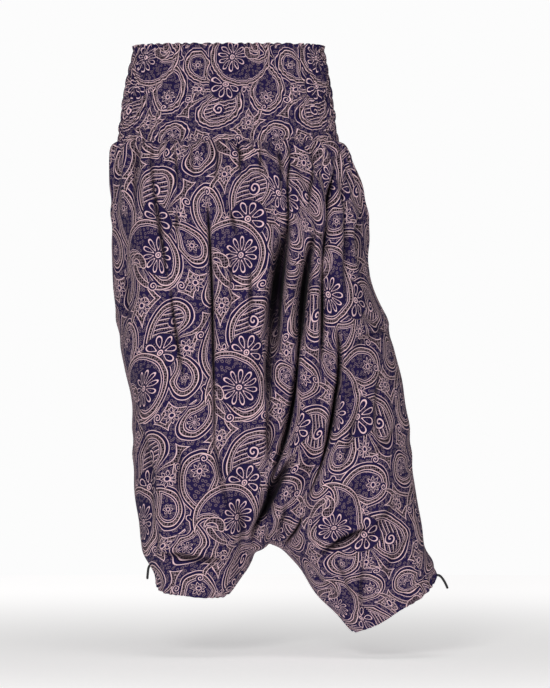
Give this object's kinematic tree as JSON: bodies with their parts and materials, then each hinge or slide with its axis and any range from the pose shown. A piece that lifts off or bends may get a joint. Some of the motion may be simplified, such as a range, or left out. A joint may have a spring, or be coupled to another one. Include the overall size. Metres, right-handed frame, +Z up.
{
  "type": "harem pants",
  "caption": "Harem pants in the hollow shape they keep when worn, with a wide smocked waistband, a knee-low crotch, and short legs drawn in at the ankle with cords.",
  "frame": {"origin": "middle of the waistband, where the wearer's waist holds the garment", "axes": "+Z up along the wearer, +Y towards the wearer's front, +X towards the wearer's right side"},
  "size_m": [0.5892, 0.3454, 1.0171],
  "materials": {
    "printed_cloth": "printed plain-weave viscose, soft and matt",
    "cord": "black braided cord"
  },
  "bodies": {
    "root": {"waistband": "printed_cloth", "left_back_panel": "printed_cloth", "right_back_panel": "printed_cloth", "left_front_panel": "printed_cloth", "right_front_panel": "printed_cloth", "left_hem_casing": "printed_cloth", "right_hem_casing": "printed_cloth", "left_drawstring": "cord", "right_drawstring": "cord"}
  },
  "joints": []
}
